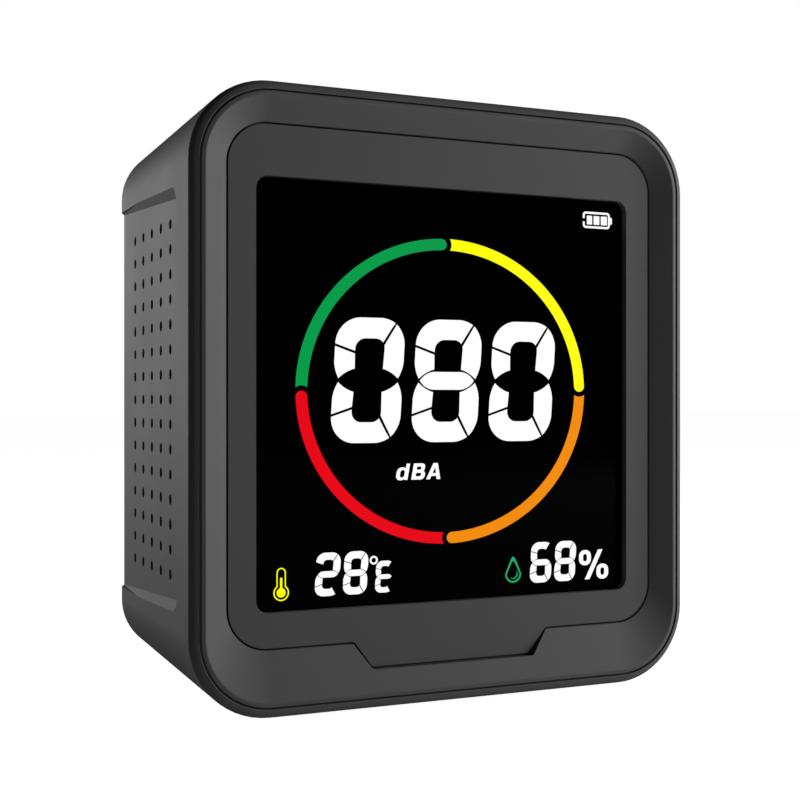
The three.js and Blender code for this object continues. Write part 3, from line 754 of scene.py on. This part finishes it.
# The seven bars of a digit that is 20.9 mm high, as (x, z, rounding) corners from its middle.
TOP_BAR = [
    (-6.3, 5.98, 0), (-6.3, 10.45, 4.4), (3.24, 10.45, 1.44), (4.41, 9.61, 0),
    (2.31, 6.2, 0), (1.83, 6.88, 0.8), (-2.59, 6.88, 1.7), (-2.59, 4.75, 0),
]
LEFT_BAR = [
    (-6.3, 5.70, 0), (-2.59, 4.45, 0), (-2.46, 1.86, 0), (-4.1, 1.52, 1.6),
    (-5.33, 0.22, 0), (-6.3, 1.75, 1.5),
]
RIGHT_BAR = [
    (2.5, 5.83, 0), (2.59, 5.5, 0.2), (2.46, 1.86, 0), (4.1, 1.52, 1.6), (5.33, 0.22, 0),
    (6.3, 1.75, 1.5), (6.3, 8.1, 2.14), (4.63, 9.45, 0),
]
MIDDLE_BAR = [
    (-5.2, 0, 0), (-3.9, 1.58, 1.4), (3.9, 1.58, 1.4), (5.2, 0, 0),
    (3.9, -1.58, 1.4), (-3.9, -1.58, 1.4),
]


def flipped(bar):
    return [(x, -z, rounding) for x, z, rounding in bar]


BARS = {
    "a": TOP_BAR, "b": RIGHT_BAR, "c": flipped(RIGHT_BAR), "d": flipped(TOP_BAR),
    "e": flipped(LEFT_BAR), "f": LEFT_BAR, "g": MIDDLE_BAR,
}
LIT_BARS = {"0": "abcdef", "8": "abcdefg", "2": "abged", "6": "afgedc", "C": "afged"}


def display_path(points, x=0.0, h=0.0, size=1.0, slant=0.0, inset=0.0):
    """An outline drawn in its own units, placed on the display at x across and h up."""
    return [
        Vector((x + size * (point.x + slant * point.z), 0, DISPLAY_Z + h + size * point.z))
        for point in rounded_path(points, inset)
    ]


def inlay(*paths):
    """A thin lit shape on the window."""
    return slab(paths, ARTWORK_FRONT, ARTWORK_BACK)


def digit(character, x, h, height):
    """The lit bars of one slanted digit, each drawn in a little to leave a gap."""
    return [
        inlay(display_path(BARS[bar], x, h, height / (DIGIT_HEIGHT - 0.14), SLANT, 0.07))
        for bar in LIT_BARS[character]
    ]


def box_corners(left, right, low, high, rounding=0.0):
    return [(left, low, rounding), (right, low, rounding), (right, high, rounding),
            (left, high, rounding)]


LETTER_D = [
    [(0.81, 0, 0), (0.81, 1, 0.03), (0.575, 1, 0.03), (0.575, 0.70, 0), (0.48, 0.78, 0.1),
     (0, 0.78, 0.3), (0, -0.02, 0.3), (0.48, -0.02, 0.1), (0.59, 0.08, 0), (0.59, 0, 0)],
    box_corners(0.25, 0.55, 0.15, 0.61, 0.13),
]
LETTER_B = [
    [(0, 0, 0.03), (0, 1, 0.03), (0.80, 1, 0.22), (0.80, 0.56, 0.14), (0.72, 0.52, 0),
     (0.88, 0.47, 0.14), (0.88, 0, 0.25)],
    box_corners(0.25, 0.56, 0.61, 0.80, 0.08),
    box_corners(0.25, 0.61, 0.20, 0.42, 0.09),
]
LETTER_A = [
    [(0, 0, 0), (0.32, 1, 0.03), (0.62, 1, 0.03), (0.98, 0, 0), (0.72, 0, 0), (0.66, 0.2, 0),
     (0.32, 0.2, 0), (0.26, 0, 0)],
    [(0.38, 0.38, 0), (0.61, 0.38, 0), (0.49, 0.76, 0)],
]


def letter(outlines, x):
    return inlay(*[display_path(points, x, -12.98, 2.74, 0.19) for points in outlines])


def disc(radius, x, h, sides=40):
    return rod(radius, (x, (ARTWORK_FRONT + ARTWORK_BACK) / 2, DISPLAY_Z + h), "Y",
               ARTWORK_BACK - ARTWORK_FRONT, sides)


def cutting_disc(radius, x, h, sides=40):
    return rod(radius, (x, ARTWORK_FRONT, DISPLAY_Z + h), "Y", 1.0, sides)


def ring_quarter(turn, band):
    """One quarter of the level ring, clockwise, hollow at its start and round at its end."""
    across, up = 26.43, 25.08
    centre = Vector((-0.32, ARTWORK_FRONT, DISPLAY_Z + 2.0))
    early = math.radians(2.2)
    thickness = ARTWORK_BACK - ARTWORK_FRONT
    bare = arc_band(across - band / 2, across + band / 2, -early, math.pi / 2, 40, thickness)

    def on_ring(angle):
        return Vector((across * math.sin(angle), 0, across * math.cos(angle)))

    end = on_ring(math.pi / 2 - early) + Vector((0, thickness / 2, 0))
    quarter = carved(
        bare, added=[rod(band / 2 - 0.01, end, "Y", 0.96 * thickness, 40)],
        cut=[rod(band / 2 + 0.9, on_ring(-early), "Y", 1.0, 40)],
    )
    shape = (
        Matrix.Translation(centre) @ Matrix.Diagonal((1, 1, up / across, 1))
        @ Matrix.Rotation(turn, 4, "Y")
    )
    bmesh.ops.transform(quarter, matrix=shape, verts=quarter.verts)
    return quarter


def stem_path(x, half, low, high, rounding):
    """The outline of an upright bar on the display."""
    return display_path(box_corners(x - half, x + half, low, high, rounding))


def thermometer_sign():
    """A bulb and a tube in outline, with the column inside them."""
    x, bulb_h = -30.21, -30.75
    tube, slot = 0.8, 0.6
    tube_path = stem_path(x, tube, bulb_h + 0.2, -26.7, 0.79)
    slot_path = stem_path(x, slot, bulb_h + 0.4, -26.9, slot - 0.01)
    column_path = stem_path(x, 0.2, bulb_h + 0.2, -28.3, 0.12)
    outline = carved(disc(1.34, x, bulb_h), added=[inlay(tube_path)])
    line = carved(outline, cut=[
        cutting_disc(1.12, x, bulb_h),
        slab([slot_path], ARTWORK_FRONT - 0.5, ARTWORK_BACK + 0.5),
    ])
    column = carved(disc(0.77, x, bulb_h), added=[inlay(column_path)])
    return joined(line, column)


def drop_shape(radius, tip, x, h, deep=False):
    """A disc whose upper half is drawn up to a point and narrowed."""
    bm = cutting_disc(radius, x, h, 48) if deep else disc(radius, x, h, 48)
    for vert in bm.verts:
        rise = max(0.0, (vert.co.z - DISPLAY_Z - h) / radius)
        vert.co.z += (tip - radius) * rise ** 1.6
        vert.co.x = x + (vert.co.x - x) * (1 - 0.5 * rise)
    return bm


def battery_sign():
    """An open-sided case with its nub and three bars."""
    left, right, low, high = 26.90, 32.59, 31.46, 34.41
    rim = 0.38
    case = inlay(
        display_path(box_corners(left, right, low, high, 0.6)),
        display_path(box_corners(left + rim, right - rim, low + rim, high - rim, 0.25)),
    )
    gap = slab([display_path(box_corners(left - 1, left + 0.8, 32.6, 33.2))],
               ARTWORK_FRONT - 0.5, ARTWORK_BACK + 0.5)
    parts = [carved(case, cut=[gap])]
    nub = [(right - 0.05, 32.2, 0), (33.04, 32.4, 0.1), (33.04, 33.45, 0.1), (right - 0.05, 33.65, 0)]
    parts.append(inlay(display_path(nub)))
    for bar_left, bar_right in ((27.74, 28.84), (29.17, 30.38), (30.69, 31.97)):
        parts.append(inlay(display_path(box_corners(bar_left, bar_right, 32.13, 33.7, 0.08))))
    return parts


def percent_sign():
    zero = []
    for x, h in ((27.35, -27.79), (31.01, -30.39)):
        zero.append(inlay(
            display_path(box_corners(x - 1.25, x + 1.25, h - 1.36, h + 1.36, 1.1)),
            display_path(box_corners(x - 0.41, x + 0.41, h - 0.67, h + 0.67, 0.38)),
        ))
    stroke = [(27.3, -31.7, 0.05), (28.29, -31.7, 0.05), (31.05, -26.43, 0.05), (30.1, -26.43, 0.05)]
    return [*zero, inlay(display_path(stroke))]


def humidity_drop():
    """A drop in outline with a crescent of light in it."""
    x, h = 12.64, -29.91
    outline = carved(drop_shape(1.57, 3.0, x, h), cut=[drop_shape(1.28, 2.25, x, h, deep=True)])
    glint = carved(disc(0.86, 12.66, -29.95), cut=[cutting_disc(0.9, 12.46, -29.78)])
    return joined(outline, glint)


class METER_OT_display_reading(bpy.types.Operator):
    """Build the lit digits, level ring and signs on the smoked window"""
    bl_idname = "meter.display_reading"
    bl_label = "Display Reading"

    def execute(self, context):
        chosen = context.scene.meter_display
        height = chosen.digit_height / MM
        white = lit_segment("lit_white", chosen.digit_color, chosen.brightness)
        large = []
        for character, x in (("0", -14.91), ("8", -0.27), ("0", 14.42)):
            large += digit(character, x, 3.78, height)
        piece("level_reading", joined(*large), white)
        unit = [letter(LETTER_D, -9.96), letter(LETTER_B, -7.03), letter(LETTER_A, -4.24)]
        piece("level_unit", joined(*unit), white)
        small = []
        for character, x, size in (("2", -22.12, 7.14), ("8", -17.17, 7.14), ("6", 18.27, 7.14),
                                   ("8", 23.21, 7.14)):
            small += digit(character, x, -28.18, size)
        small += digit("C", -11.98, -29.09, 5.32)
        small.append(carved(disc(0.73, -13.91, -26.25), cut=[cutting_disc(0.41, -13.91, -26.25)]))
        piece("climate_reading", joined(*small, *percent_sign()), white)
        piece("battery_sign", joined(*battery_sign()), white)
        quarters = (
            ("quiet", chosen.quiet_color), ("moderate", chosen.moderate_color),
            ("loud", chosen.loud_color), ("harmful", chosen.harmful_color),
        )
        for step, (name, color) in enumerate(quarters):
            look = lit_segment("lit_" + name, color, chosen.brightness)
            turn = (step - 1) * math.pi / 2
            piece("level_ring_" + name, ring_quarter(turn, chosen.ring_band / MM), look)
        piece("temperature_sign", thermometer_sign(),
              lit_segment("lit_moderate", chosen.moderate_color, chosen.brightness))
        piece("humidity_sign", humidity_drop(),
              lit_segment("lit_humidity", chosen.humidity_color, chosen.brightness))
        return {"FINISHED"}


# ---------- rear cover, buttons, fasteners and feet ----------
class METER_OT_rear_cover(bpy.types.Operator):
    """Build the rear cover with its button pocket and label recess"""
    bl_idname = "meter.rear_cover"
    bl_label = "Rear Cover"

    def execute(self, context):
        inner = behind(COVER_INNER)
        outer = COVER_BACK_Y
        cover = lofted([
            (section_path(COVER), inner, 0.2), (section_path(COVER), outer, 0.4),
        ], closed=False)
        pads = [
            rod_between(BOSS["radius"], behind(BOSS["back"] + 0.1), inner + 0.2, x, z)
            for x, z in COVER_SCREWS
        ]
        post_front = behind(KEY_POST["front"])
        posts = [
            rod_between(KEY_POST["radius"], post_front, inner + 0.2, x, z) for x, z in KEY_POSTS
        ]
        openings = [
            slab([section_path(BUTTON, CLEARANCE, x)], inner - 1, outer) for x in (-18, 0, 18)
        ]
        cuts = [
            slab([section_path(BUTTON_POCKET)], outer - 0.8, outer + 1),
            slab([section_path(SOCKET, CLEARANCE)], inner - 1, outer + 1),
            slab([section_path(LABEL_RECESS)], outer - 0.3, outer + 1),
            *openings,
            *[rod_between(2.5, outer - 1.7, outer + 1, x, z, 48) for x, z in COVER_SCREWS],
            *[rod_between(1.35, behind(47), outer, x, z) for x, z in COVER_SCREWS],
            *[rod_between(KEY_POST["pilot"], post_front - 0.7, inner - 1, x, z, 16)
              for x, z in KEY_POSTS],
        ]
        finished = carved(cover, added=pads + posts, cut=cuts)
        piece("back_cover", finished, shell_look(),
              stands_for=["rear_cover"], smooth=30.0)
        return {"FINISHED"}


BUTTON_SIGNS = {
    "up": [[(-1.5, -0.8, 0.1), (1.5, -0.8, 0.1), (0, 1.1, 0.15)]],
    "down": [[(-1.5, 0.8, 0.1), (0, -1.1, 0.15), (1.5, 0.8, 0.1)]],
}


class METER_OT_buttons(bpy.types.Operator):
    """Build the three button caps with their signs"""
    bl_idname = "meter.buttons"
    bl_label = "Buttons"

    def execute(self, context):
        color = context.scene.meter_body.button_color
        look = grained("button_plastic", color, 0.42, grain=6000.0, bump=0.08)
        sign_look = grained("button_print", (0.62, 0.62, 0.62), 0.5, grain=8000.0, bump=0.05)
        for name in ("up", "power", "down"):
            low, high = extent("button_" + name)
            x = (low.x + high.x) / 2
            flange_back = behind(COVER_INNER - 0.1)
            cap = lofted([
                (section_path(BUTTON, 0.0, x), flange_back - 0.6, 0.0),
                (section_path(BUTTON, 0.0, x), high.y, 0.55),
                (section_path(BUTTON, -1.6, x), high.y - 0.12, 0.3),
            ], closed=False)
            flange = slab([section_path(BUTTON, 1.2, x)], low.y, flange_back, 0.15, 0.15)
            piece("button_cap_" + name, carved(cap, added=[flange]), look,
                  body=name + "_key", stands_for=["button_" + name], smooth=40.0)
            front = high.y - 0.14
            back = high.y - 0.08
            if name == "power":
                stroke = block(x, BUTTON.z + 0.925, 0.16, 0.825, front, back)
                parts = [power_arc(x, front, back), stroke]
            else:
                parts = [slab([[
                    Vector((x + point.x, 0, BUTTON.z + point.z))
                    for point in rounded_path(points)
                ]], front, back) for points in BUTTON_SIGNS[name]]
            piece("button_sign_" + name, joined(*parts), sign_look,
                  body=name + "_key")
        return {"FINISHED"}


def power_arc(x, front, back):
    """The open circle of a power sign."""
    opening = math.radians(38)
    arc = arc_band(1.1, 1.45, opening, math.tau - 2 * opening, 32, back - front)
    bmesh.ops.translate(arc, verts=arc.verts, vec=(x, front, BUTTON.z))
    return arc


class METER_OT_cover_screws(bpy.types.Operator):
    """Build the four cross-recessed screws in the rear cover"""
    bl_idname = "meter.cover_screws"
    bl_label = "Cover Screws"

    def execute(self, context):
        look = grained("black_screw", (0.035, 0.035, 0.037), 0.35, grain=9000.0, bump=0.05,
                       metallic=1.0)
        for number, (x, z) in enumerate(COVER_SCREWS, 1):
            low, high = extent(f"cover_screw_{number}")
            length = high.y - low.y
            seat = length - 1.5
            profile = [
                (0, 0), (0.5, 0.1), (1.0, 0.7), (1.0, seat), (2.1, seat), (2.2, seat + 0.12),
                (2.2, seat + 0.7), (1.9, seat + 1.2), (1.2, seat + 1.46), (0, seat + 1.5),
            ]
            body = turned(profile, (x, low.y, z), "Y", 32)
            arms = [
                block(x, z, across, up, high.y - 0.9, high.y + 1)
                for across, up in ((1.15, 0.22), (0.22, 1.15))
            ]
            piece(f"cross_screw_{number}", carved(body, cut=arms), look,
                  stands_for=[f"cover_screw_{number}"])
        return {"FINISHED"}


class METER_OT_feet(bpy.types.Operator):
    """Build the four rubber feet"""
    bl_idname = "meter.feet"
    bl_label = "Feet"

    def execute(self, context):
        look = grained("rubber", **NODE_FINISHES["rubber"])
        for place in ("front_left", "front_right", "rear_left", "rear_right"):
            low, high = extent("foot_" + place)
            centre = ((low.x + high.x) / 2, (low.y + high.y) / 2, low.z)
            top = 2.0 if "front" in place else 3.3
            bulb = top + 2
            profile = [
                (0, 0.15), (2.6, 0.12), (3.0, 0.0), (3.9, 0.0), (4.3, 0.15), (4.5, 0.5),
                (4.5, top), (1.5, top), (1.5, bulb), (2.1, bulb), (1.0, bulb + 1.3),
                (0, bulb + 1.3),
            ]
            piece("rubber_foot_" + place, turned(profile, centre, "Z", 40), look,
                  stands_for=["foot_" + place], smooth=40.0)
        return {"FINISHED"}


# ---------- finishes of the CAD nodes that show as they are ----------
NODE_FINISHES = {
    "black_tape": dict(color=(0.012, 0.012, 0.012), roughness=0.85, grain=1500.0, bump=0.3),
    "window_lens": dict(color=(0.0006, 0.0006, 0.0007), roughness=0.05, grain=400.0, tone=0.02,
                        bump=0.002, specular=0.03),
    "display_glass": dict(color=(0.004, 0.004, 0.004), roughness=0.12, grain=400.0, tone=0.02,
                          bump=0.01),
    "white_plastic": dict(color=(0.78, 0.78, 0.75), roughness=0.4, grain=4000.0),
    "rubber": dict(color=(0.022, 0.022, 0.022), roughness=0.78, grain=2500.0, bump=0.25),
    "black_plastic": dict(color=(0.02, 0.02, 0.021), roughness=0.5, grain=4500.0),
    "circuit_board": dict(color=(0.012, 0.12, 0.045), roughness=0.3, grain=1200.0, tone=0.25),
    "chip_resin": dict(color=(0.02, 0.02, 0.022), roughness=0.6, grain=6000.0),
    "cell_wrap": dict(color=(0.04, 0.18, 0.42), roughness=0.25, grain=900.0, tone=0.1),
    "plated_steel": dict(color=(0.62, 0.62, 0.63), roughness=0.28, grain=2500.0, tone=0.1,
                         metallic=1.0),
    "felt": dict(color=(0.0015, 0.0015, 0.0015), roughness=0.95, grain=2200.0, tone=0.5, bump=0.8),
    "capsule_aluminium": dict(color=(0.72, 0.72, 0.73), roughness=0.3, grain=1800.0,
                              metallic=1.0),
    "lead_sleeve": dict(color=(0.02, 0.02, 0.02), roughness=0.55, grain=3000.0),
}


class METER_OT_inner_finishes(bpy.types.Operator):
    """Give every CAD node that still shows its own finish"""
    bl_idname = "meter.inner_finishes"
    bl_label = "Inner Finishes"

    def execute(self, context):
        slots = {row["node"]: row["material_slot"] for row in frame["record"]["subparts"]}
        for name, node in frame["nodes"].items():
            if node.hide_render:
                continue
            slot = slots[name]
            if slot not in NODE_FINISHES:
                raise RuntimeError(f"{name} has no finish for the slot {slot}")
            look = grained(slot, **NODE_FINISHES[slot])
            node.data.materials.clear()
            node.data.materials.append(look)
        return {"FINISHED"}


# ---------- stage ----------
def area_light(name, power, size, place, target):
    data = bpy.data.lights.new(name, "AREA")
    data.energy = power
    data.shape = "RECTANGLE"
    data.size, data.size_y = size
    light = bpy.data.objects.new(name, data)
    light.location = place
    light.rotation_euler = (Vector(target) - Vector(place)).to_track_quat("-Z", "Y").to_euler()
    bpy.context.scene.collection.objects.link(light)


class METER_OT_stage(bpy.types.Operator):
    """Set the floor, the lights and the camera"""
    bl_idname = "meter.stage"
    bl_label = "Stage"

    def execute(self, context):
        scene = context.scene
        chosen = scene.meter_stage
        bm = bmesh.new()
        bmesh.ops.create_grid(bm, x_segments=2, y_segments=2, size=6.0)
        bmesh.ops.translate(bm, verts=bm.verts, vec=(0, 0, -0.0002))
        mesh = bpy.data.meshes.new("table_top")
        bm.to_mesh(mesh)
        bm.free()
        floor = bpy.data.objects.new("table_top", mesh)
        scene.collection.objects.link(floor)
        mesh.materials.append(self.floor_look(chosen.floor_color))

        target = (0, 0, 0.05)
        area_light("side_light", chosen.side_light, (0.5, 0.2), (0.70, -0.372, 0.161), target)
        area_light("rear_light", chosen.rear_light, (0.35, 0.2), (-0.396, 0.686, 0.161), target)
        self.surroundings(scene, chosen.surround_light)

        lens = bpy.data.cameras.new("camera")
        lens.lens = chosen.lens
        lens.sensor_width = 36.0
        lens.shift_y = 0.0037
        lens.clip_start = 0.01
        camera = bpy.data.objects.new("camera", lens)
        camera.location = (-0.10155, -0.22850, 0.05085)
        camera.rotation_euler = (math.pi / 2, 0, -math.radians(24.254))
        scene.collection.objects.link(camera)
        scene.camera = camera
        scene.view_settings.view_transform = "Standard"
        return {"FINISHED"}

    @staticmethod
    def floor_look(color):
        look = bpy.data.materials.new("pale_table")
        look.use_nodes = True
        nodes, links = look.node_tree.nodes, look.node_tree.links
        shader = nodes["Principled BSDF"]
        shader.inputs["Base Color"].default_value = (*color, 1)
        shader.inputs["Roughness"].default_value = 0.9
        shader.inputs["Specular IOR Level"].default_value = 0.1
        shader.inputs["Emission Color"].default_value = (1, 1, 1, 1)
        ray = nodes.new("ShaderNodeLightPath")
        seen = nodes.new("ShaderNodeMath")
        seen.operation = "MULTIPLY"
        seen.inputs[1].default_value = 0.97
        links.new(ray.outputs["Is Camera Ray"], seen.inputs[0])
        links.new(seen.outputs[0], shader.inputs["Emission Strength"])
        return look

    @staticmethod
    def surroundings(scene, strength):
        world = bpy.data.worlds.new("studio")
        world.use_nodes = True
        scene.world = world
        nodes, links = world.node_tree.nodes, world.node_tree.links
        soft = nodes["Background"]
        soft.inputs["Color"].default_value = (1, 1, 1, 1)
        soft.inputs["Strength"].default_value = strength
        seen = nodes.new("ShaderNodeBackground")
        seen.inputs["Color"].default_value = (1, 1, 1, 1)
        ray = nodes.new("ShaderNodeLightPath")
        mixed = nodes.new("ShaderNodeMixShader")
        links.new(ray.outputs["Is Camera Ray"], mixed.inputs[0])
        links.new(soft.outputs[0], mixed.inputs[1])
        links.new(seen.outputs[0], mixed.inputs[2])
        links.new(mixed.outputs[0], nodes["World Output"].inputs["Surface"])


OPERATORS = (
    METER_OT_housing, METER_OT_front_frame, METER_OT_display_plate, METER_OT_display_reading,
    METER_OT_rear_cover, METER_OT_buttons, METER_OT_cover_screws, METER_OT_feet,
    METER_OT_inner_finishes, METER_OT_stage,
)


class METER_PT_pieces(bpy.types.Panel):
    """Lists the settings and the pieces in the order they are built"""
    bl_idname = "METER_PT_pieces"
    bl_label = "Sound Level Meter"
    bl_space_type = "VIEW_3D"
    bl_region_type = "UI"
    bl_category = "Sound Meter"

    def draw(self, context):
        layout = self.layout
        for group in (context.scene.meter_body, context.scene.meter_display,
                      context.scene.meter_stage):
            box = layout.box()
            for name in group.bl_rna.properties.keys():
                if name not in ("rna_type", "name"):
                    box.prop(group, name)
        for operator in OPERATORS:
            layout.operator(operator.bl_idname)


CLASSES = (MeterBodySettings, MeterDisplaySettings, MeterStageSettings, *OPERATORS,
           METER_PT_pieces)


def register():
    for cls in CLASSES:
        bpy.utils.register_class(cls)
    bpy.types.Scene.meter_body = PointerProperty(type=MeterBodySettings)
    bpy.types.Scene.meter_display = PointerProperty(type=MeterDisplaySettings)
    bpy.types.Scene.meter_stage = PointerProperty(type=MeterStageSettings)


def unregister():
    del bpy.types.Scene.meter_stage
    del bpy.types.Scene.meter_display
    del bpy.types.Scene.meter_body
    for cls in reversed(CLASSES):
        bpy.utils.unregister_class(cls)


def main():
    register()
    bpy.ops.meter.housing()
    bpy.ops.meter.front_frame()
    bpy.ops.meter.display_plate()
    bpy.ops.meter.display_reading()
    bpy.ops.meter.rear_cover()
    bpy.ops.meter.buttons()
    bpy.ops.meter.cover_screws()
    bpy.ops.meter.feet()
    bpy.ops.meter.inner_finishes()
    bpy.ops.meter.stage()


if __name__ == "__main__":
    main()
